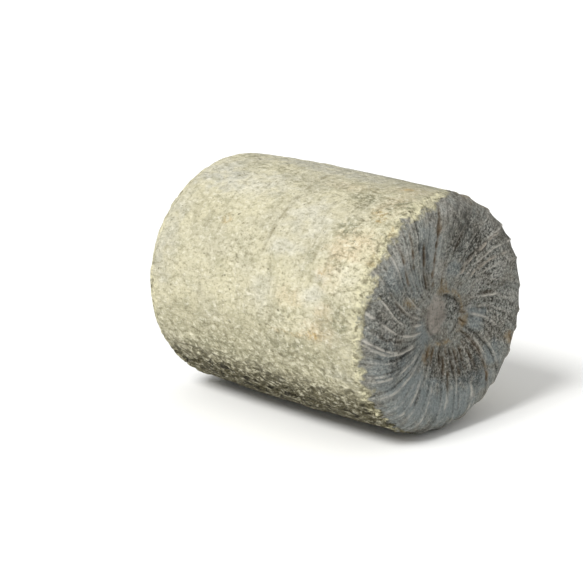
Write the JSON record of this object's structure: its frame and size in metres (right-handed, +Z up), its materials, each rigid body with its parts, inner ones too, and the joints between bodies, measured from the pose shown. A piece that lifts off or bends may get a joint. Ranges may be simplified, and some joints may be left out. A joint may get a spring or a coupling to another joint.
{
  "type": "whole blue cheese",
  "caption": "Whole drum of natural-rind blue cheese lying on its side, with cloth folds that spiral into a sunken middle on one end and a flat foot to rest on.",
  "frame": {"origin": "middle of the flat foot that the drum rests on, on the surface under it", "axes": "+X along the drum towards the gathered end, +Y across it, +Z up"},
  "size_m": [0.174, 0.1386, 0.1332],
  "materials": {
    "natural_rind": "matt cream rind on the side with greenish grey and ochre bloom, velvety slate-grey mould on the ends"
  },
  "bodies": {
    "root": {"cheese": "natural_rind"}
  },
  "joints": []
}
